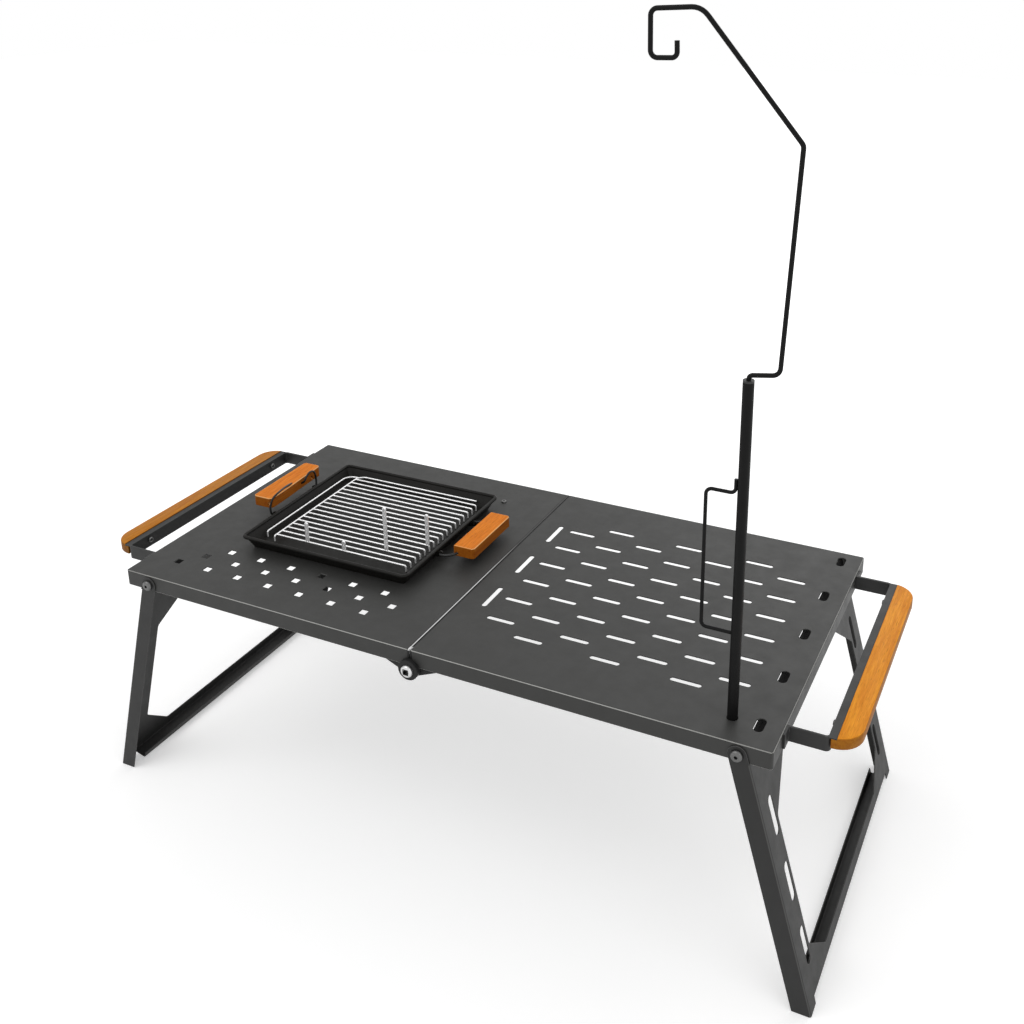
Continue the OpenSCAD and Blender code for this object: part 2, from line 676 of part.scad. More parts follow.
// Eyes on the pan's ends that hold the bails
module pan_eyes() {
  color("#262422") at_pan() for (sx = [-1, 1], sy = [-1, 1])
    translate([sx * eye_x, sy * (bail_w / 2 - 5) + eye_t / 2, eye_z]) rotate([90, 0, 0]) linear_extrude(eye_t) difference() {
      union() {
        circle(r = eye_r);
        polygon([[0, 0], [-sx * eye_reach(-1.3), -1.3], [-sx * eye_reach(-6), -6], [-sx * 4, -eye_r * 1.3], [0, -eye_r]]);
      }
      circle(r = bail_r + run_fit);
    }
}

// A bail on the side s, turned up by the angle a: drawn flat along +X, its pivot on the Y axis
module bail(s, a, r) {
  y = bail_w / 2;
  translate([s * eye_x, 0, eye_z]) mirror([s < 0 ? 1 : 0, 0, 0]) rotate([0, -a, 0])
    bent_rod([[0, 8 - y], [0, -y], [bail_l, -y], [bail_l, y], [0, y], [0, y - 8]], [2.5, 16, 16, 2.5], r);
}

left_tilt = 66;
right_tilt = 8;
module bail_left() { color("#222222") at_pan() bail(-1, left_tilt, bail_r); }
module bail_right() { color("#222222") at_pan() bail(1, right_tilt, bail_r); }

// A wooden block of length l with a waved inner side, drawn from its inner face along +X
module block_outline(l, w) {
  half = l / 2;
  wave = 1.8;
  inner = [for (i = [16:-1:0]) [wave * (1 - cos(180 * i / 16)), half - 8 - (l - 16) * i / 16]];
  polygon(concat([[0, half - 4], [4, half], [w - 3, half], [w, half - 3], [w, 3 - half], [w - 3, -half],
    [7, -half], [3.6, 4 - half]], inner));
}

module block_left() {
  color("#e07d28") at_pan() difference() {
    translate([-eye_x - 2.5, 11.5, 22.5]) mirror([1, 0, 0]) linear_extrude(block_h) mirror([0, 1]) block_outline(left_block_l, block_w);
    bail(-1, left_tilt, bail_r + 0.04);
  }
}
module block_right() {
  inset = 11.5;
  z = 12.3;
  color("#e07d28") at_pan() difference() {
    translate([eye_x + inset, 10.5, z]) linear_extrude(block_h) block_outline(right_block_l, block_w + 5);
    translate([eye_x + inset, 10.5, z + 7]) rotate([0, -52, 0]) translate([-5, -right_block_l, 0]) cube([30, 2 * right_block_l, 20]);
    bail(1, right_tilt, bail_r + 0.04);
  }
}

// Wire rack: two bent frame wires, cross wires with turned-down ends, hairpin pegs
rack_left = 14.5 - pan_l / 2;
rack_right = pan_l / 2 - 25;
rack_front = 38.5 - pan_w / 2;
rack_pitch = (pan_w - 65) / (rack_n - 1);
second_wire = rack_left + 19.5;
frame_z = rack_z - rack_d;
foot_z = pan_t + side_gap;

module rack_frame() {
  back = rack_front + rack_pitch * rack_n;
  color("#d9d9d9") at_pan() {
    translate([0, 0, frame_z]) bent_rod([[second_wire, rack_front - 3], [second_wire, back], [rack_right - 6, back]], [16], rack_r);
    translate([0, 0, frame_z]) bent_rod([[rack_left, rack_front + 4], [rack_left, back - 6], [second_wire - 2.5 * rack_r, back - 6]], [12], rack_r);
    translate([second_wire, rack_front - 3, 0]) foot_wire(frame_z);
    translate([rack_left, rack_front + 4, 0]) foot_wire(frame_z);
  }
}

// A turned-down end of a wire that runs at height z
module foot_wire(z) {
  translate([0, 0, foot_z]) cylinder(h = z - foot_z, r = rack_r);
  translate([0, 0, z]) sphere(r = rack_r);
}

module rack_wires() {
  color("#d9d9d9") at_pan() for (i = [0:rack_n - 1]) translate([0, rack_front + rack_pitch * i, 0]) rotate([90, 0, 0])
    bent_rod([[second_wire - 1, rack_z], [rack_right, rack_z], [rack_right, foot_z]], [3], rack_r);
}

// Hairpin pegs: distance along X, number of the cross wire, and height over that wire
pegs = [[64, 2, 64], [108, 5, 45.5], [-50, 0, 28], [11, 0, 13]];
module rack_pegs() {
  w = 1.7;
  r = 1.3;
  z0 = rack_z + rack_r + 0.05;
  color("#e4e4e4") at_pan() for (p = pegs) translate([p[0], rack_front + rack_pitch * p[1], 0]) {
    for (s = [-1, 1]) translate([s * w, 0, z0]) cylinder(h = p[2] - w, r = r);
    translate([0, 0, z0 + p[2] - w]) rotate([90, 0, 0]) rotate_extrude(angle = 180) translate([w, 0]) circle(r = r);
  }
}

top_left();
top_right();
top_screw();
hinge_ear_left_front();
hinge_ear_left_rear();
hinge_ear_right_front();
hinge_ear_right_rear();
hinge_boss_front();
hinge_boss_rear();
hinge_bolts();
hinge_nuts();
leg_left();
leg_right();
leg_bolts_left();
leg_bolts_right();
leg_nuts_left();
leg_nuts_right();
handle_bracket_left();
handle_bracket_right();
grip_left();
grip_right();
grip_screws_left();
grip_screws_right();
pole_socket();
pole_tube();
pole_bush();
pole_loop();
hanger_rod();
pan();
pan_eyes();
bail_left();
bail_right();
block_left();
block_right();
rack_frame();
rack_wires();
rack_pegs();
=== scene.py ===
"""Folding camp table with a lantern pole and a roasting pan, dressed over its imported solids."""
import json
import logging
import math
from dataclasses import dataclass, field
from enum import Enum
from typing import Callable, Sequence

import bmesh
import bpy
from mathutils import Matrix, Vector


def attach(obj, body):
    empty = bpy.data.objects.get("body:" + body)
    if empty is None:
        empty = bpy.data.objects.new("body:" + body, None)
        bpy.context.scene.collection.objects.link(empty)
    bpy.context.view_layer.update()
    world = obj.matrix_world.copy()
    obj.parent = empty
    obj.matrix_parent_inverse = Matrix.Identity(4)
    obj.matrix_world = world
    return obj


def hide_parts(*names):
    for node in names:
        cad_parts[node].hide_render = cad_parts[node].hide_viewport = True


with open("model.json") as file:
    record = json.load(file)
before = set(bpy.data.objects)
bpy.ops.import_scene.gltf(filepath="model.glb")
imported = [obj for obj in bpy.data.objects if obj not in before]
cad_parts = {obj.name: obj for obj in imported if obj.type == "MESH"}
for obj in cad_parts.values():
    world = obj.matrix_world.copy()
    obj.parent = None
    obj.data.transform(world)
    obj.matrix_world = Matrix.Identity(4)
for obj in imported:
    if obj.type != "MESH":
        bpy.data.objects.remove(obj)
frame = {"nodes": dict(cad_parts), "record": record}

LOG = logging.getLogger("camp_table")
MM = 0.001
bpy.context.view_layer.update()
PAN_ORIGIN = (-0.213, 0.015, 0.3353)
PAN_TURN = math.radians(0.5)
INSIDE_FLANGES = 0.2235
LOOSE_GAP = 0.000004
SOFT_BEND = math.radians(34)
FLAT_ANGLE = math.radians(0.3)
SHARP_ANGLE = math.radians(40)
WHITE = (1.0, 1.0, 1.0, 1.0)


class Facing(Enum):
    """The direction that a bent sheet's faces lie along or across."""

    NONE = (0.0, 0.0, 0.0)
    ALONG_Y = (0.0, 1.0, 0.0)
    ALONG_Z = (0.0, 0.0, 1.0)


# Shared effects, each one node group


def value_node(tree: bpy.types.NodeTree, kind: str, **settings: object) -> bpy.types.Node:
    """Adds a node and sets its properties.

    Args:
        tree: The node tree that takes the node.
        kind: The node's type name.
        **settings: Properties to set on the node.

    Returns:
        The new node.
    """
    node = tree.nodes.new(kind)
    for name, value in settings.items():
        setattr(node, name, value)
    return node


GroupParts = tuple[bpy.types.NodeTree, bpy.types.Node, bpy.types.Node]


def new_group(name: str, inputs: Sequence[tuple[str, str, object]],
              outputs: Sequence[tuple[str, str]]) -> GroupParts:
    """Makes an empty shader node group with its sockets.

    Args:
        name: The group's name.
        inputs: Name, socket type and default value of each input.
        outputs: Name and socket type of each output.

    Returns:
        The group, its input node and its output node.
    """
    group = bpy.data.node_groups.new(name, "ShaderNodeTree")
    for label, kind, value in inputs:
        group.interface.new_socket(label, in_out="INPUT", socket_type=kind).default_value = value
    for label, kind in outputs:
        group.interface.new_socket(label, in_out="OUTPUT", socket_type=kind)
    return group, group.nodes.new("NodeGroupInput"), group.nodes.new("NodeGroupOutput")


def link(tree: bpy.types.NodeTree, source: bpy.types.NodeSocket, target: bpy.types.NodeSocket) -> None:
    """Joins two sockets.

    Args:
        tree: The node tree of both.
        source: The output socket.
        target: The input socket.
    """
    tree.links.new(source, target)


def noise(tree: bpy.types.NodeTree, vector: bpy.types.NodeSocket, scale: float, detail: float,
          rough: float) -> bpy.types.Node:
    """Adds a noise texture on the given coordinates.

    Args:
        tree: The node tree that takes the node.
        vector: The coordinates that the noise reads.
        scale: Size of the pattern, in repeats per metre.
        detail: Octaves of the noise.
        rough: Strength of the finer octaves.

    Returns:
        The noise node.
    """
    node = value_node(tree, "ShaderNodeTexNoise")
    link(tree, vector, node.inputs["Vector"])
    node.inputs["Scale"].default_value = scale
    node.inputs["Detail"].default_value = detail
    node.inputs["Roughness"].default_value = rough
    return node


def scaled(tree: bpy.types.NodeTree, source: bpy.types.NodeSocket, low: float, high: float,
           start: float = 0.0, end: float = 1.0) -> bpy.types.NodeSocket:
    """Maps a value from start..end to low..high.

    Args:
        tree: The node tree that takes the node.
        source: The value to map.
        low: Result at start.
        high: Result at end.
        start: Lowest value read.
        end: Highest value read.

    Returns:
        The mapped value's socket.
    """
    node = value_node(tree, "ShaderNodeMapRange")
    link(tree, source, node.inputs["Value"])
    for name, value in (("From Min", start), ("From Max", end), ("To Min", low), ("To Max", high)):
        node.inputs[name].default_value = value
    return node.outputs["Result"]


def mixed(tree: bpy.types.NodeTree, mask: bpy.types.NodeSocket, first: object,
          second: object) -> bpy.types.NodeSocket:
    """Mixes two colours by a mask.

    Args:
        tree: The node tree that takes the node.
        mask: Share of the second colour.
        first: A socket or a colour of three numbers.
        second: A socket or a colour of three numbers.

    Returns:
        The mixed colour's socket.
    """
    node = value_node(tree, "ShaderNodeMix", data_type="RGBA")
    link(tree, mask, node.inputs[0])
    for socket, value in ((node.inputs[6], first), (node.inputs[7], second)):
        if isinstance(value, bpy.types.NodeSocket):
            link(tree, value, socket)
        else:
            socket.default_value = (*value, 1.0)
    return node.outputs[2]


def texture_point(tree: bpy.types.NodeTree) -> bpy.types.NodeSocket:
    """Gives the object coordinates.

    Args:
        tree: The node tree that takes the node.

    Returns:
        The coordinates' socket.
    """
    return value_node(tree, "ShaderNodeTexCoord").outputs["Object"]


def split_point(tree: bpy.types.NodeTree) -> bpy.types.Node:
    """Gives the object coordinates apart.

    Args:
        tree: The node tree that takes the nodes.

    Returns:
        The node with the outputs X, Y and Z.
    """
    node = value_node(tree, "ShaderNodeSeparateXYZ")
    link(tree, texture_point(tree), node.inputs[0])
    return node


def highlight_edge_mask(tree: bpy.types.NodeTree) -> bpy.types.NodeSocket:
    """Reads the folded and cut edges, where the finishes paint a highlight.

    Args:
        tree: The node tree that takes the node.

    Returns:
        The mask's socket, 1 on a broken edge and 0 away from it.
    """
    return value_node(tree, "ShaderNodeAttribute", attribute_name="broken_edge").outputs["Fac"]


def within(tree: bpy.types.NodeTree, value: bpy.types.NodeSocket, low: float, high: float,
           soft: float = 0.0003) -> bpy.types.NodeSocket:
    """Masks the values between two limits.

    Args:
        tree: The node tree that takes the nodes.
        value: The value.
        low: Lower limit.
        high: Upper limit.
        soft: Width over which the mask fades.

    Returns:
        The mask's socket.
    """
    return combined(tree, "MULTIPLY", scaled(tree, value, 0.0, 1.0, low - soft, low + soft),
                    scaled(tree, value, 1.0, 0.0, high - soft, high + soft))


def combined(tree: bpy.types.NodeTree, operation: str, first: bpy.types.NodeSocket,
             second: bpy.types.NodeSocket) -> bpy.types.NodeSocket:
    """Combines two values by a math node.

    Args:
        tree: The node tree that takes the node.
        operation: The math node's operation.
        first: The first value.
        second: The second value.

    Returns:
        The result's socket.
    """
    node = value_node(tree, "ShaderNodeMath", operation=operation)
    link(tree, first, node.inputs[0])
    link(tree, second, node.inputs[1])
    return node.outputs[0]


@dataclass(frozen=True)
class SplitSeam:
    """Where the painted highlight and the painted shade lie at the split between the tops, as the limits of
    each in metres.
    """

    # the line and the notch hold the painted highlight, the strips after them the painted shade
    line: tuple[float, float] = (-0.0024, -0.0011)
    line_fade: tuple[float, float] = (-0.05, 0.06)
    notch: tuple[float, float] = (-0.0028, 0.0012)
    notch_along: tuple[float, float] = (-INSIDE_FLANGES, -0.2175)
    gap: tuple[float, float] = (-0.0006, 0.0018)
    shade_strip: tuple[float, float] = (-0.0038, -0.0029)
    rim_shade: tuple[float, float] = (-0.0035, 0.0035)
    rim_bend: tuple[float, float] = (0.3335, 0.3342)
    inner: tuple[float, float] = (-0.4465, 0.4465)
    inner_along: tuple[float, float] = (-0.2215, 0.2215)


def seam_group() -> bpy.types.NodeTree:
    """Builds the masks of the painted highlight and painted shade at the split, and of the tops' border.

    Returns:
        The group. Light is the painted highlight on the left half's edge and notch, Dark the painted shade in
        the split beside it and under the rim, Border the outer edges.
    """
    seam = SplitSeam()
    group, _, out = new_group("split_seam", [], [
        ("Light", "NodeSocketFloat"), ("Dark", "NodeSocketFloat"), ("Border", "NodeSocketFloat")])
    place = split_point(group)
    across, along, height = (place.outputs[axis] for axis in "XYZ")
    front = scaled(group, along, 1.0, 0.0, *seam.line_fade)
    line = combined(group, "MULTIPLY", front, within(group, across, *seam.line))
    notch = combined(group, "MULTIPLY", within(group, along, *seam.notch_along),
                     within(group, across, *seam.notch))
    above = scaled(group, height, 0.0, 1.0, *seam.rim_bend)
    light = combined(group, "MAXIMUM", line, notch)
    link(group, combined(group, "MULTIPLY", above, light), out.inputs["Light"])
    beside = combined(group, "MAXIMUM", within(group, across, *seam.gap), within(group, across, *seam.shade_strip))
    below = combined(group, "MULTIPLY", scaled(group, height, 1.0, 0.0, *seam.rim_bend),
                     within(group, across, *seam.rim_shade))
    dark = combined(group, "MAXIMUM", below, combined(group, "MULTIPLY", above, beside))
    link(group, dark, out.inputs["Dark"])
    inner = combined(group, "MULTIPLY", within(group, across, *seam.inner),
                     within(group, along, *seam.inner_along))
    link(group, scaled(group, inner, 1.0, 0.0), out.inputs["Border"])
    return group


def orange_peel_group() -> bpy.types.NodeTree:
    """Builds the fine texture of sprayed or fired coats.

    Returns:
        The group. Its outputs are the mottled tone, the gloss, the height and the broken edges that take a
        painted highlight.
    """
    group, given, out = new_group("coat_texture", [
        ("Grain", "NodeSocketFloat", 900.0), ("Cloud", "NodeSocketFloat", 9.0)],
        [("Tone", "NodeSocketFloat"), ("Gloss", "NodeSocketFloat"), ("Height", "NodeSocketFloat"),
         ("Edge", "NodeSocketFloat")])
    point = texture_point(group)
    link(group, highlight_edge_mask(group), out.inputs["Edge"])
    fine = noise(group, point, scale=900.0, detail=2.0, rough=0.6)
    link(group, given.outputs["Grain"], fine.inputs["Scale"])
    broad = noise(group, point, scale=9.0, detail=4.0, rough=0.6)
    link(group, given.outputs["Cloud"], broad.inputs["Scale"])
    link(group, broad.outputs["Fac"], out.inputs["Tone"])
    streak = noise(group, point, scale=46.0, detail=5.0, rough=0.65)
    link(group, scaled(group, streak.outputs["Fac"], 0.0, 1.0, start=0.3, end=0.7), out.inputs["Gloss"])
    link(group, fine.outputs["Fac"], out.inputs["Height"])
    return group


def wood_grain_group() -> bpy.types.NodeTree:
    """Builds the grain of oiled wood.

    Returns:
        The group. Its outputs are the growth bands, the fibres and the pores.
    """
    group, given, out = new_group("wood_grain", [
        ("Stretch", "NodeSocketVector", (1.0, 0.05, 1.0)), ("Band", "NodeSocketFloat", 280.0)],
        [("Bands", "NodeSocketFloat"), ("Fibres", "NodeSocketFloat"), ("Pores", "NodeSocketFloat")])
    point = texture_point(group)
    warp = noise(group, point, scale=14.0, detail=2.0, rough=0.5)
    shift = value_node(group, "ShaderNodeVectorMath", operation="SCALE")
    link(group, warp.outputs["Color"], shift.inputs[0])
    shift.inputs["Scale"].default_value = 0.0035
    moved = value_node(group, "ShaderNodeVectorMath", operation="ADD")
    link(group, point, moved.inputs[0])
    link(group, shift.outputs[0], moved.inputs[1])
    drawn = value_node(group, "ShaderNodeVectorMath", operation="MULTIPLY")
    link(group, moved.outputs[0], drawn.inputs[0])
    link(group, given.outputs["Stretch"], drawn.inputs[1])
    band = noise(group, drawn.outputs[0], scale=280.0, detail=3.0, rough=0.6)
    link(group, given.outputs["Band"], band.inputs["Scale"])
    fibre = noise(group, drawn.outputs[0], scale=900.0, detail=2.0, rough=0.7)
    pore = noise(group, drawn.outputs[0], scale=1700.0, detail=1.0, rough=0.5)
    link(group, scaled(group, band.outputs["Fac"], 0.0, 1.0, start=0.32, end=0.68), out.inputs["Bands"])
    link(group, scaled(group, fibre.outputs["Fac"], 0.0, 1.0, start=0.3, end=0.7), out.inputs["Fibres"])
    link(group, scaled(group, pore.outputs["Fac"], 0.0, 1.0, start=0.6, end=0.72), out.inputs["Pores"])
    return group


def brushed_metal_group() -> bpy.types.NodeTree:
    """Builds the marks on bare or plated metal.

    Returns:
        The group. Its outputs are the stains and the fine scratches.
    """
    group, given, out = new_group("metal_marks", [("Scale", "NodeSocketFloat", 700.0)],
                                  [("Stain", "NodeSocketFloat"), ("Scratch", "NodeSocketFloat")])
    point = texture_point(group)
    drawn = value_node(group, "ShaderNodeMapping")
    link(group, point, drawn.inputs["Vector"])
    drawn.inputs["Scale"].default_value = (0.12, 1.0, 1.0)
    scratch = noise(group, drawn.outputs[0], scale=700.0, detail=3.0, rough=0.7)
    link(group, given.outputs["Scale"], scratch.inputs["Scale"])
    stain = noise(group, point, scale=60.0, detail=3.0, rough=0.5)
    link(group, stain.outputs["Fac"], out.inputs["Stain"])
    link(group, scratch.outputs["Fac"], out.inputs["Scratch"])
    return group


GROUPS: dict[str, bpy.types.NodeTree] = {}


def shared(tree: bpy.types.NodeTree, make: Callable[[], bpy.types.NodeTree]) -> bpy.types.Node:
    """Places a shared effect in a material, built at its first use.

    Args:
        tree: The material's node tree.
        make: The function that builds the effect's group.

    Returns:
        The group node.
    """
    if make.__name__ not in GROUPS:
        GROUPS[make.__name__] = make()
    node = value_node(tree, "ShaderNodeGroup")
    node.node_tree = GROUPS[make.__name__]
    return node


def start_material(name: str) -> tuple[bpy.types.Material, bpy.types.NodeTree, bpy.types.Node]:
    """Makes a material with its Principled shader.

    Args:
        name: The material's name.

    Returns:
        The material, its node tree and the shader.
    """
    material = bpy.data.materials.new(name)
    material.use_nodes = True
    tree = material.node_tree
    return material, tree, tree.nodes["Principled BSDF"]


def raised(tree: bpy.types.NodeTree, height: bpy.types.NodeSocket, shader: bpy.types.Node, depth: float,
           strength: float) -> None:
    """Feeds a height through a Bump node into the shader.

    Args:
        tree: The material's node tree.
        height: The height, from 0 to 1.
        shader: The Principled shader.
        depth: Height of the relief in metres.
        strength: Strength of the bump.
    """
    bump = value_node(tree, "ShaderNodeBump")
    bump.inputs["Distance"].default_value = depth
    bump.inputs["Strength"].default_value = strength
    link(tree, height, bump.inputs["Height"])
    link(tree, bump.outputs["Normal"], shader.inputs["Normal"])


# Finishes


@dataclass(frozen=True)
class Coat:
    """A sprayed, dipped or fired coat on steel.

    A painted highlight makes its edges edge_light times as bright as the coat. The seam is the split between
    the tops, with a painted highlight and painted shade along it, and what lies over a set height between the
    flanges has the top's shade painted on.
    """

    name: str
    colour: tuple[float, float, float]
    cloud: float = 0.12
    gloss_low: float = 0.42
    gloss_high: float = 0.56
    grain: float = 900.0
    relief: float = 0.00004
    specular: float = 0.5
    edge_light: float = 1.0
    seam: bool = False
    # colours of the painted highlight and the painted shade along the split
    seam_light: tuple[float, float, float] = (0.7, 0.7, 0.7)
    seam_dark: tuple[float, float, float] = (0.004, 0.004, 0.004)
    # painted shade under the top, from this height up
    painted_shade_above: float = 0.0
    shade: tuple[float, float, float] = (0.003, 0.003, 0.003)
    shade_fade: float = 0.004
    bump: float = 0.5

    def build(self) -> bpy.types.Material:
        """Builds the coat's material.

        Returns:
            The material.
        """
        material, tree, shader = start_material(self.name)
        texture = shared(tree, orange_peel_group)
        texture.inputs["Grain"].default_value = self.grain
        dark = tuple(c * (1 - self.cloud) for c in self.colour)
        light = tuple(c * (1 + self.cloud) for c in self.colour)
        tone = mixed(tree, texture.outputs["Tone"], dark, light)
        gloss = scaled(tree, texture.outputs["Gloss"], self.gloss_low, self.gloss_high)
        # painted highlight: the edge faces take the coat's colour times edge_light
        if self.edge_light > 1:
            painted_highlight = tuple(c * self.edge_light for c in self.colour)
            edge = texture.outputs["Edge"]
            if self.seam:
                edge = combined(tree, "MULTIPLY", edge, shared(tree, seam_group).outputs["Border"])
            tone = mixed(tree, edge, tone, painted_highlight)
        # painted shade: what lies under the top between the flanges takes the near-black shade colour
        if self.painted_shade_above:
            place = split_point(tree)
            painted_shade_zone = combined(tree, "MULTIPLY",
                              within(tree, place.outputs["Y"], -INSIDE_FLANGES, INSIDE_FLANGES),
                              scaled(tree, place.outputs["Z"], 0.0, 1.0, self.painted_shade_above,
                                     self.painted_shade_above + self.shade_fade))
            tone = mixed(tree, painted_shade_zone, tone, self.shade)
            gloss = combined(tree, "MAXIMUM", gloss, painted_shade_zone)
        # painted shade in the split between the halves, then a painted highlight on the left half's edge
        if self.seam:
            split = shared(tree, seam_group)
            tone = mixed(tree, split.outputs["Dark"], tone, self.seam_dark)
            tone = mixed(tree, split.outputs["Light"], tone, self.seam_light)
        link(tree, tone, shader.inputs["Base Color"])
        link(tree, gloss, shader.inputs["Roughness"])
        shader.inputs["Specular IOR Level"].default_value = self.specular
        raised(tree, texture.outputs["Height"], shader, self.relief, self.bump)
        return material


@dataclass(frozen=True)
class OiledWood:
    """Planed hardwood with oil.

    Painted shade gives its sides a share of its top's tone and dims its tone towards the table's left end,
    and a painted highlight lies along its upward edges.
    Its fibres run along Y, where the pattern is stretched.
    """

    name: str
    light: tuple[float, float, float]
    dark: tuple[float, float, float]
    painted_side_shade: float = 0.5
    painted_left_shade: float = 1.0
    stretch: tuple[float, float, float] = (1.0, 0.05, 1.0)
    fibre_tone: float = 0.75
    pore_tone: float = 0.4
    table_end: float = 0.45
    lit_edge: tuple[float, float, float] = (0.95, 0.6, 0.27)
    specular: float = 0.12
    gloss_low: float = 0.46
    gloss_high: float = 0.62
    relief: float = 0.00005
    bump: float = 0.6

    def build(self) -> bpy.types.Material:
        """Builds the wood's material.

        Returns:
            The material.
        """
        material, tree, shader = start_material(self.name)
        grain = shared(tree, wood_grain_group)
        grain.inputs["Stretch"].default_value = self.stretch
        tone = mixed(tree, grain.outputs["Bands"], self.light, self.dark)
        fibre = scaled(tree, grain.outputs["Fibres"], 0.0, 0.45)
        tone = mixed(tree, fibre, tone, tuple(c * self.fibre_tone for c in self.dark))
        pore = scaled(tree, grain.outputs["Pores"], 0.0, 0.5)
        tone = mixed(tree, pore, tone, tuple(c * self.pore_tone for c in self.dark))
        facing = value_node(tree, "ShaderNodeSeparateXYZ")
        link(tree, value_node(tree, "ShaderNodeTexCoord").outputs["Normal"], facing.inputs[0])
        # painted shade: sides darker than the top, and darker towards the table's left end
        side = scaled(tree, facing.outputs["Z"], self.painted_side_shade, 1.0, 0.2, 0.8)
        end = scaled(tree, split_point(tree).outputs["X"], self.painted_left_shade, 1.0,
                     start=-self.table_end, end=self.table_end)
        dimmed = value_node(tree, "ShaderNodeVectorMath", operation="SCALE")
        link(tree, tone, dimmed.inputs[0])
        link(tree, combined(tree, "MULTIPLY", side, end), dimmed.inputs["Scale"])
        # painted highlight on the upward edges of the wood
        lit = combined(tree, "MULTIPLY", scaled(tree, highlight_edge_mask(tree), 0.0, 0.6),
                       scaled(tree, facing.outputs["Z"], 0.0, 1.0, 0.15, 0.35))
        tone = mixed(tree, lit, dimmed.outputs[0], self.lit_edge)
        link(tree, tone, shader.inputs["Base Color"])
        shader.inputs["Specular IOR Level"].default_value = self.specular
        link(tree, scaled(tree, grain.outputs["Fibres"], self.gloss_low, self.gloss_high),
             shader.inputs["Roughness"])
        raised(tree, grain.outputs["Fibres"], shader, self.relief, self.bump)
        return material


@dataclass(frozen=True)
class BareMetal:
    """Plated or polished metal.

    With a middle_tone, the bolts in the table's middle are that bright, with painted shade in the socket.
    """

    name: str
    colour: tuple[float, float, float]
    gloss_low: float = 0.22
    gloss_high: float = 0.4
    relief: float = 0.000015
    metallic: float = 1.0
    middle_tone: float = 0.0
    middle: float = 0.05
    socket: float = 0.004
    socket_height: float = 0.31
    socket_tone: tuple[float, float, float] = (0.03, 0.03, 0.03)
    dull_tone: float = 0.82
    bump: float = 0.4

    def build(self) -> bpy.types.Material:
        """Builds the metal's material.

        Returns:
            The material.
        """
        material, tree, shader = start_material(self.name)
        marks = shared(tree, brushed_metal_group)
        shader.inputs["Metallic"].default_value = self.metallic
        dull = tuple(c * self.dull_tone for c in self.colour)
        tone = mixed(tree, marks.outputs["Stain"], dull, self.colour)
        if self.middle_tone:
            place = split_point(tree)
            middle = within(tree, place.outputs["X"], -self.middle, self.middle)
            tone = mixed(tree, middle, tone, (self.middle_tone,) * 3)
            # painted shade in the middle bolt's socket
            socket = combined(tree, "MULTIPLY", within(tree, place.outputs["X"], -self.socket, self.socket),
                              within(tree, place.outputs["Z"], self.socket_height - self.socket,
                                     self.socket_height + self.socket))
            tone = mixed(tree, socket, tone, self.socket_tone)
        link(tree, tone, shader.inputs["Base Color"])
        link(tree, scaled(tree, marks.outputs["Scratch"], self.gloss_low, self.gloss_high, 0.25, 0.75),
             shader.inputs["Roughness"])
        raised(tree, marks.outputs["Scratch"], shader, self.relief, self.bump)
        return material


FINISHES = (
    Coat("top_coat", (0.034, 0.034, 0.0325), gloss_low=0.44, gloss_high=0.56, specular=0.3, edge_light=11.0,
         seam=True),
    Coat("leg_coat", (0.024, 0.024, 0.0235), gloss_low=0.42, gloss_high=0.54, specular=0.24, edge_light=2.8,
         painted_shade_above=0.309),
    Coat("bracket_coat", (0.025, 0.025, 0.0245), specular=0.28, edge_light=2.6),
    Coat("hinge_coat", (0.012, 0.012, 0.012), gloss_low=0.5, gloss_high=0.65, specular=0.25, edge_light=3.0),
    Coat("pole_coat", (0.004, 0.004, 0.004), gloss_low=0.44, gloss_high=0.56, specular=0.12),
    Coat("pan_enamel", (0.008, 0.0075, 0.0065), cloud=0.3, gloss_low=0.4, gloss_high=0.54, grain=420.0,
         relief=0.00008, specular=0.15, edge_light=6.0),
    Coat("bail_wire", (0.008, 0.008, 0.008), gloss_low=0.34, gloss_high=0.46, specular=0.35),
    Coat("bush_plastic", (0.01, 0.01, 0.01), gloss_low=0.5, gloss_high=0.6, grain=1400.0),
    OiledWood("grip_wood", light=(0.9, 0.36, 0.026), dark=(0.68, 0.22, 0.013), painted_side_shade=0.45,
              painted_left_shade=0.62),
    OiledWood("block_wood", light=(0.84, 0.26, 0.016), dark=(0.62, 0.155, 0.008), painted_side_shade=0.42),
    BareMetal("bolt_steel", (0.15, 0.15, 0.148), gloss_low=0.3, gloss_high=0.42, middle_tone=0.6),
    BareMetal("rack_chrome", (1.0, 1.0, 1.0), gloss_low=0.16, gloss_high=0.28, relief=0.000006,
              metallic=0.45),
)


class Paintbox:
    """The finishes of the table, each built once."""

    def __init__(self) -> None:
        """Builds every finish."""
        self.made = {finish.name: finish.build() for finish in FINISHES}
        self.slots = {row["node"]: row["material_slot"] for row in frame["record"]["subparts"]}

    def dress_node(self, name: str) -> None:
        """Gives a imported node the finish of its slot.

        Args:
            name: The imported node.
        """
        obj = frame["nodes"][name]
        material = self.made[self.slots[name]]
        if not obj.material_slots:
            obj.data.materials.append(material)
        for slot in obj.material_slots:
            slot.material = material

    def dress_piece(self, piece: bpy.types.Object, finish: str) -> None:
        """Gives a new piece a finish.

        Args:
            piece: The new piece.
            finish: The finish's name, which is its slot's too.
        """
        piece.data.materials.clear()
        piece.data.materials.append(self.made[finish])


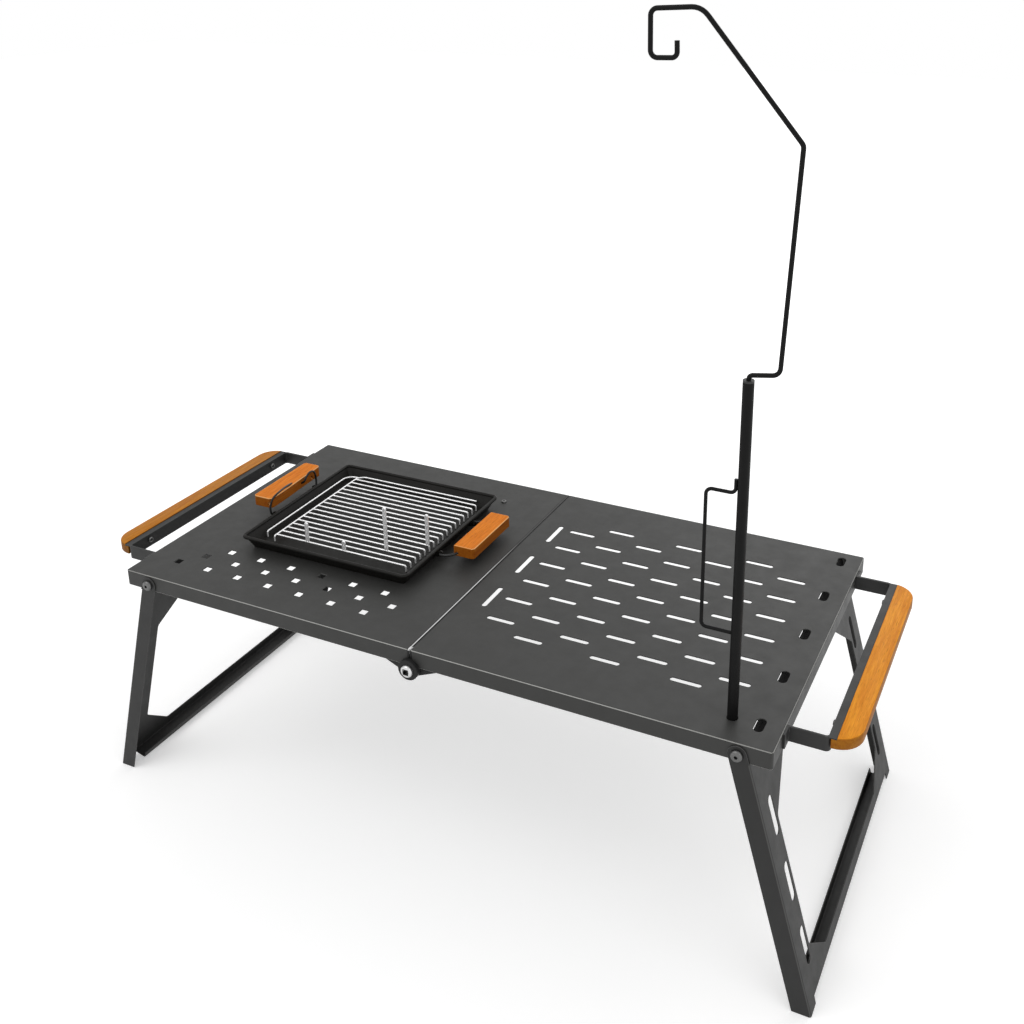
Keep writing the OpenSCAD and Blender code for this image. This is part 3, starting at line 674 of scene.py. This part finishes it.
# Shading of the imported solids


def shape_group(name: str, inputs: Sequence[tuple[str, str]]) -> GroupParts:
    """Makes an empty geometry node group that takes and gives a mesh.

    Args:
        name: The group's name.
        inputs: Name and socket type of each further input.

    Returns:
        The group, its input node and its output node.
    """
    group = bpy.data.node_groups.new(name, "GeometryNodeTree")
    for label, kind in (("Geometry", "NodeSocketGeometry"), *inputs):
        group.interface.new_socket(label, in_out="INPUT", socket_type=kind)
    group.interface.new_socket("Geometry", in_out="OUTPUT", socket_type="NodeSocketGeometry")
    return group, group.nodes.new("NodeGroupInput"), group.nodes.new("NodeGroupOutput")


def smooth_by_angle() -> bpy.types.NodeTree:
    """Builds the geometry group that joins loose triangles and shades soft bends smooth.

    Returns:
        The group.
    """
    group, given, out = shape_group("joined_smooth", ())
    merge = value_node(group, "GeometryNodeMergeByDistance")
    merge.inputs["Distance"].default_value = LOOSE_GAP
    faces = value_node(group, "GeometryNodeSetShadeSmooth", domain="FACE")
    edges = value_node(group, "GeometryNodeSetShadeSmooth", domain="EDGE")
    angle = value_node(group, "GeometryNodeInputMeshEdgeAngle")
    soft = compared(group, "LESS_THAN", angle.outputs[0], SOFT_BEND)
    link(group, given.outputs[0], merge.inputs[0])
    link(group, merge.outputs[0], faces.inputs[0])
    link(group, faces.outputs[0], edges.inputs[0])
    link(group, soft, edges.inputs["Shade Smooth"])
    link(group, edges.outputs[0], out.inputs[0])
    return group


def compared(tree: bpy.types.NodeTree, operation: str, value: bpy.types.NodeSocket,
             limit: object) -> bpy.types.NodeSocket:
    """Compares a value with a number or another socket.

    Args:
        tree: The node tree that takes the node.
        operation: The compare node's operation.
        value: The value.
        limit: A number or a socket.

    Returns:
        The comparison's socket.
    """
    node = value_node(tree, "FunctionNodeCompare", data_type="FLOAT", operation=operation)
    link(tree, value, node.inputs[0])
    if isinstance(limit, bpy.types.NodeSocket):
        link(tree, limit, node.inputs[1])
    else:
        node.inputs[1].default_value = limit
    return node.outputs[0]


def joined(tree: bpy.types.NodeTree, operation: str, first: bpy.types.NodeSocket,
           second: bpy.types.NodeSocket) -> bpy.types.NodeSocket:
    """Joins two conditions.

    Args:
        tree: The node tree that takes the node.
        operation: AND or OR.
        first: The first condition.
        second: The second condition.

    Returns:
        The joined condition's socket.
    """
    node = value_node(tree, "FunctionNodeBooleanMath", operation=operation)
    link(tree, first, node.inputs[0])
    link(tree, second, node.inputs[1])
    return node.outputs[0]


NARROW_SHARE = 0.4
MOST_CORNERS = 4.5
BEND_FACING = (0.5, 0.9)


def mark_edges() -> bpy.types.NodeTree:
    """Builds the geometry group that stores which faces belong to a broken edge or to a sheet's bend, where
    the finishes paint a highlight.

    A face of a broken edge has at most four corners, and over two fifths of its edges are narrow. A face
    of a bend is neither along nor across the sheet's axis.

    Returns:
        The group.
    """
    group, given, out = shape_group("edge_marks", (
        ("Width", "NodeSocketFloat"), ("Axis", "NodeSocketVector")))
    ends = value_node(group, "GeometryNodeInputMeshEdgeVertices")
    span = value_node(group, "ShaderNodeVectorMath", operation="DISTANCE")
    share = value_node(group, "GeometryNodeFieldOnDomain", domain="EDGE", data_type="FLOAT")
    corners = value_node(group, "GeometryNodeInputMeshFaceNeighbors")
    facing = value_node(group, "ShaderNodeVectorMath", operation="DOT_PRODUCT")
    upright = value_node(group, "ShaderNodeMath", operation="ABSOLUTE")
    store = value_node(group, "GeometryNodeStoreNamedAttribute", data_type="FLOAT", domain="FACE")
    store.inputs["Name"].default_value = "broken_edge"
    link(group, ends.outputs["Position 1"], span.inputs[0])
    link(group, ends.outputs["Position 2"], span.inputs[1])
    link(group, compared(group, "LESS_THAN", span.outputs["Value"], given.outputs["Width"]), share.inputs[0])
    narrow = joined(group, "AND", compared(group, "GREATER_THAN", share.outputs[0], NARROW_SHARE),
                    compared(group, "LESS_THAN", corners.outputs["Vertex Count"], MOST_CORNERS))
    link(group, value_node(group, "GeometryNodeInputNormal").outputs[0], facing.inputs[0])
    link(group, given.outputs["Axis"], facing.inputs[1])
    link(group, facing.outputs["Value"], upright.inputs[0])
    bend = joined(group, "AND", compared(group, "GREATER_THAN", upright.outputs[0], BEND_FACING[0]),
                  compared(group, "LESS_THAN", upright.outputs[0], BEND_FACING[1]))
    link(group, joined(group, "OR", narrow, bend), store.inputs["Value"])
    link(group, given.outputs["Geometry"], store.inputs["Geometry"])
    link(group, store.outputs[0], out.inputs[0])
    return group


@dataclass(frozen=True)
class Edge:
    """How wide a node's edges are broken, and how its sheet lies."""

    width: float
    facing: Facing = Facing.NONE


EDGES = {
    "top_left": Edge(0.0005, Facing.ALONG_Z),
    "top_right": Edge(0.0005, Facing.ALONG_Z),
    "leg_left": Edge(0.0004, Facing.ALONG_Y),
    "leg_right": Edge(0.0004, Facing.ALONG_Y),
    "handle_bracket_left": Edge(0.0004),
    "handle_bracket_right": Edge(0.0004),
    "hinge_ear_left_front": Edge(0.0003),
    "hinge_ear_left_rear": Edge(0.0003),
    "hinge_ear_right_front": Edge(0.0003),
    "hinge_ear_right_rear": Edge(0.0003),
    "hinge_boss_front": Edge(0.0004),
    "hinge_boss_rear": Edge(0.0004),
    "block_left": Edge(0.0009),
    "block_right": Edge(0.0009),
}


@dataclass
class EdgeWork:
    """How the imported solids' edges are softened."""

    group: bpy.types.NodeTree = field(default_factory=smooth_by_angle)
    marks: bpy.types.NodeTree = field(default_factory=mark_edges)
    segments: int = 2
    narrow: float = 0.95

    def soften(self, name: str) -> None:
        """Joins a node's triangles and shades it, and breaks its edges where EDGES says so.

        Args:
            name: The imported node.
        """
        obj = frame["nodes"][name]
        smooth = obj.modifiers.new("joined_smooth", "NODES")
        smooth.node_group = self.group
        if name in EDGES:
            self.break_edges(obj, EDGES[name])

    def break_edges(self, obj: bpy.types.Object, edge: Edge) -> None:
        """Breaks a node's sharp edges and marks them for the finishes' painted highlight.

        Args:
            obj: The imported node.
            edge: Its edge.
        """
        flat = obj.modifiers.new("flat_faces", "DECIMATE")
        flat.decimate_type = "DISSOLVE"
        flat.angle_limit = FLAT_ANGLE
        bevel = obj.modifiers.new("broken_edge", "BEVEL")
        bevel.width = edge.width
        bevel.segments = self.segments
        bevel.limit_method = "ANGLE"
        bevel.angle_limit = SHARP_ANGLE
        bevel.use_clamp_overlap = False
        bevel.harden_normals = True
        flush = obj.modifiers.new("flush_faces", "WEIGHTED_NORMAL")
        flush.weight = 100
        flush.keep_sharp = True
        marks = obj.modifiers.new("edge_marks", "NODES")
        marks.node_group = self.marks
        sockets = {item.name: item.identifier for item in self.marks.interface.items_tree}
        marks[sockets["Width"]] = edge.width * self.narrow
        marks[sockets["Axis"]] = edge.facing.value
        even = obj.modifiers.new("even_triangles", "TRIANGULATE")
        even.ngon_method = "BEAUTY"
        even.min_vertices = 5
        even.keep_custom_normals = True


# New pieces


PAN_PLACE = Matrix.Translation(PAN_ORIGIN) @ Matrix.Rotation(PAN_TURN, 4, "Z")
DOUBLE_GAP = 0.000002


def finish_mesh(bm: bmesh.types.BMesh, name: str, smooth: float = 35.0) -> bpy.types.Object:
    """Turns a bmesh into an object at the origin.

    Args:
        bm: The mesh in work, which is freed.
        name: The piece's name.
        smooth: Angle in degrees up to which edges are shaded smooth.

    Returns:
        The new object.
    """
    bmesh.ops.remove_doubles(bm, verts=bm.verts, dist=DOUBLE_GAP)
    bmesh.ops.recalc_face_normals(bm, faces=bm.faces)
    for face in bm.faces:
        face.smooth = True
    limit = math.radians(smooth)
    for edge in bm.edges:
        edge.smooth = len(edge.link_faces) != 2 or edge.calc_face_angle() < limit
    mesh = bpy.data.meshes.new(name)
    bm.to_mesh(mesh)
    bm.free()
    piece = bpy.data.objects.new(name, mesh)
    bpy.context.scene.collection.objects.link(piece)
    LOG.info("%s: %d faces", name, len(mesh.polygons))
    return piece


def along_curve(corners: Sequence[tuple[float, float, float]], steps: int = 7) -> list[Vector]:
    """Gives points of a smooth curve through the given corners.

    Args:
        corners: The corners, in metres.
        steps: Points between two corners.

    Returns:
        The curve's points.
    """
    given = [Vector(c) for c in corners]
    given = [given[0] * 2 - given[1]] + given + [given[-1] * 2 - given[-2]]
    points = []
    for a, b, c, d in zip(given, given[1:], given[2:], given[3:]):
        for i in range(steps):
            t = i / steps
            points.append(0.5 * (2 * b + (c - a) * t + (2 * a - 5 * b + 4 * c - d) * t * t
                                 + (3 * b - a - 3 * c + d) * t ** 3))
    points.append(given[-2])
    return points


def add_wire(bm: bmesh.types.BMesh, points: Sequence[Vector], radius: float, sides: int = 14) -> None:
    """Adds a round wire along the given points.

    Args:
        bm: The mesh in work.
        points: Points of the wire's middle line.
        radius: The wire's radius in metres.
        sides: Sides of the wire's section.
    """
    rings = []
    turn = None
    for i, point in enumerate(points):
        course = (points[min(i + 1, len(points) - 1)] - points[max(i - 1, 0)]).normalized()
        if turn is None:
            turn = course.to_track_quat("Z", "Y")
        else:
            turn = (turn @ Vector((0, 0, 1))).rotation_difference(course) @ turn
        place = Matrix.Translation(point) @ turn.to_matrix().to_4x4()
        ends = i in (0, len(points) - 1)
        ring = bmesh.ops.create_circle(bm, cap_ends=ends, segments=sides, radius=radius, matrix=place)
        rings.append({edge for vert in ring["verts"] for edge in vert.link_edges if len(edge.link_faces) < 2})
    for first, second in zip(rings, rings[1:]):
        bmesh.ops.bridge_loops(bm, edges=list(first | second))


@dataclass
class RackFrame:
    """The rack's two bent frame wires, level with the cross wires, with turned-down feet.

    Its places are in millimetres in the pan's frame, with z from the pan's foot.
    """

    radius: float = 1.15 * MM
    left: float = -121.0
    second: float = -103.2
    right: float = 104.5
    front: float = -90.0
    back: float = 114.0
    level: float = 10.0
    foot: float = 1.6
    bend: float = 14.0
    foot_bend: float = 2.5
    foot_lead: float = 0.5
    outer_front: float = -3.0
    inner_front: float = 4.0
    inner_back: float = 6.0
    overlap: float = 3.0
    smooth: float = 60.0

    def course(self, x: float, front: float, back: float, end: float) -> list[Vector]:
        """Gives the middle line of a frame wire.

        Args:
            x: Place of its long run.
            front: Its front end.
            back: Its rear run.
            end: The right end of its rear run.

        Returns:
            The points in metres, in the pan's frame.
        """
        turn = []
        for angle in range(0, 91, 9):
            side, ahead = math.cos(math.radians(angle)), math.sin(math.radians(angle))
            turn.append((x + self.bend * (1 - side), back - self.bend * (1 - ahead), self.level))
        drop = []
        for angle in range(90, -1, -18):
            side, ahead = math.cos(math.radians(angle)), math.sin(math.radians(angle))
            drop.append((x, front - self.foot_bend * ahead + self.foot_lead,
                         self.level - self.foot_bend * (1 - side)))
        foot = (x, front - self.foot_bend + self.foot_lead, self.foot)
        line = [foot] + drop + turn + [(end, back, self.level)]
        return [Vector(point) * MM for point in line]

    def build(self, paint: Paintbox) -> bpy.types.Object:
        """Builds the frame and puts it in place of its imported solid.

        Args:
            paint: The finishes.

        Returns:
            The frame.
        """
        bm = bmesh.new()
        courses = (
            self.course(self.second, self.front + self.outer_front, self.back, self.right),
            self.course(self.left, self.front + self.inner_front, self.back - self.inner_back,
                        self.second + self.overlap),
        )
        for course in courses:
            add_wire(bm, [PAN_PLACE @ point for point in course], self.radius)
        piece = finish_mesh(bm, "rack_frame_wires", self.smooth)
        paint.dress_piece(piece, "rack_chrome")
        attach(piece, "rack")
        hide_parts("rack_frame")
        return piece


@dataclass
class RaisedBail:
    """The left bail, turned up beside its block: an arch at each end that runs into the wood.

    Its corners are in millimetres in the pan's frame, with z from the pan's foot.
    """

    radius: float = 1.5 * MM
    smooth: float = 60.0
    front: tuple[tuple[float, float, float], ...] = (
        (-139.5, -44, 13.5), (-139.5, -50, 13.6), (-141.2, -53.2, 18), (-141.5, -53.2, 28), (-139, -50, 39),
        (-137, -42, 44), (-139.5, -25, 44), (-144, -8, 41), (-148, 6, 37), (-149, 14, 33))
    rear: tuple[tuple[float, float, float], ...] = (
        (-139.5, 44, 13.5), (-139.5, 50, 13.6), (-140.3, 53, 18), (-140.3, 52.8, 29), (-138.2, 46.5, 40.5),
        (-137.5, 37, 44.5), (-137.5, 28, 41), (-139.5, 24.5, 34), (-145, 24, 30))

    def build(self, paint: Paintbox) -> bpy.types.Object:
        """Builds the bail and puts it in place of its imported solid.

        Args:
            paint: The finishes.

        Returns:
            The bail.
        """
        bm = bmesh.new()
        for corners in (self.front, self.rear):
            points = along_curve([tuple(c * MM for c in corner) for corner in corners])
            add_wire(bm, [PAN_PLACE @ point for point in points], self.radius)
        piece = finish_mesh(bm, "raised_bail_left", self.smooth)
        paint.dress_piece(piece, "bail_wire")
        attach(piece, "left_bail")
        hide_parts("bail_left")
        return piece


# Studio


@dataclass(frozen=True)
class Lamp:
    """A soft square lamp: its place and side in metres and its power in watts."""

    name: str
    place: tuple[float, float, float]
    size: float
    power: float

    def build(self, aim: tuple[float, float, float]) -> None:
        """Hangs the lamp.

        Args:
            aim: The point that it faces.
        """
        data = bpy.data.lights.new(self.name, "AREA")
        data.size = self.size
        data.energy = self.power
        lamp = bpy.data.objects.new(self.name, data)
        bpy.context.scene.collection.objects.link(lamp)
        lamp.location = self.place
        lamp.rotation_euler = (Vector(aim) - Vector(self.place)).to_track_quat("-Z", "Y").to_euler()


@dataclass
class Studio:
    """Pale floor, soft lamps and white surroundings.

    The floor glows by camera_lift as seen near the table and by far_lift far from it.
    """

    floor_size: float = 9.0
    floor_height: float = -0.0006
    floor_tone: float = 0.86
    floor_gloss: float = 0.9
    floor_specular: float = 0.1
    camera_lift: float = 0.34
    far_lift: float = 0.75
    near: float = 0.75
    far: float = 1.9
    surround: float = 0.66
    aim: tuple[float, float, float] = (0.0, 0.0, 0.35)
    lamps: tuple[Lamp, ...] = (
        Lamp("key", (-1.6, -2.2, 3.4), 2.6, 41.0),
        Lamp("side", (2.6, -1.4, 1.9), 2.0, 12.0),
        Lamp("back", (0.4, 2.8, 2.4), 2.4, 22.0),
    )

    def build(self) -> None:
        """Builds the floor, the world and the lamps."""
        self.floor()
        self.world()
        for lamp in self.lamps:
            lamp.build(self.aim)

    def floor(self) -> None:
        """Builds the floor, white to the camera with the table's shadow kept."""
        bm = bmesh.new()
        bmesh.ops.create_grid(bm, x_segments=2, y_segments=2, size=self.floor_size)
        floor = finish_mesh(bm, "studio_floor")
        for vert in floor.data.vertices:
            vert.co.z = self.floor_height
        material, tree, shader = start_material("studio_floor")
        shader.inputs["Roughness"].default_value = self.floor_gloss
        shader.inputs["Specular IOR Level"].default_value = self.floor_specular
        shader.inputs["Base Color"].default_value = (self.floor_tone,) * 3 + (1.0,)
        path = value_node(tree, "ShaderNodeLightPath")
        seen = combined(tree, "MAXIMUM", path.outputs["Is Camera Ray"], path.outputs["Is Glossy Ray"])
        away = value_node(tree, "ShaderNodeVectorMath", operation="LENGTH")
        link(tree, texture_point(tree), away.inputs[0])
        lift = scaled(tree, away.outputs["Value"], self.camera_lift, self.far_lift, self.near, self.far)
        shader.inputs["Emission Color"].default_value = WHITE
        link(tree, combined(tree, "MULTIPLY", seen, lift), shader.inputs["Emission Strength"])
        floor.data.materials.append(material)

    def world(self) -> None:
        """Lights the table from all round and shows white to the camera."""
        world = bpy.data.worlds.new("white_surround")
        bpy.context.scene.world = world
        world.use_nodes = True
        tree = world.node_tree
        path = value_node(tree, "ShaderNodeLightPath")
        seen = combined(tree, "MAXIMUM", path.outputs["Is Camera Ray"], path.outputs["Is Transmission Ray"])
        seen = combined(tree, "MAXIMUM", seen, path.outputs["Is Glossy Ray"])
        back = tree.nodes["Background"]
        back.inputs["Color"].default_value = WHITE
        link(tree, scaled(tree, seen, self.surround, 1.0), back.inputs["Strength"])


@dataclass
class PhotoCamera:
    """The camera at the photograph's place, with its angles in degrees and its lens in millimetres."""

    place: tuple[float, float, float] = (0.69715, -1.2377, 1.1525)
    heading: float = 24.52
    down: float = 18.767
    roll: float = 0.077
    lens: float = 41.272
    shift: tuple[float, float] = (-0.07414, -0.17773)
    sensor: float = 36.0
    clip: tuple[float, float] = (0.01, 60.0)

    def build(self) -> None:
        """Builds the camera and makes it the scene's."""
        data = bpy.data.cameras.new("photo_camera")
        data.sensor_width = self.sensor
        data.lens = self.lens
        data.shift_x, data.shift_y = self.shift
        data.clip_start, data.clip_end = self.clip
        camera = bpy.data.objects.new("photo_camera", data)
        bpy.context.scene.collection.objects.link(camera)
        turn = (Matrix.Rotation(math.radians(self.heading), 4, "Z")
                @ Matrix.Rotation(math.radians(90 - self.down), 4, "X")
                @ Matrix.Rotation(math.radians(self.roll), 4, "Z"))
        camera.matrix_world = Matrix.Translation(self.place) @ turn
        bpy.context.scene.camera = camera


# The table


def main() -> None:
    """Builds the studio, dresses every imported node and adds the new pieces."""
    logging.basicConfig(level=logging.INFO)
    scene = bpy.context.scene
    scene.view_settings.view_transform = "Standard"
    PhotoCamera().build()
    Studio().build()
    paint = Paintbox()
    edges = EdgeWork()
    for name in frame["nodes"]:
        paint.dress_node(name)
        edges.soften(name)
        LOG.info("%s dressed as %s", name, paint.slots[name])
    RaisedBail().build(paint)
    RackFrame().build(paint)


if __name__ == "__main__":
    main()
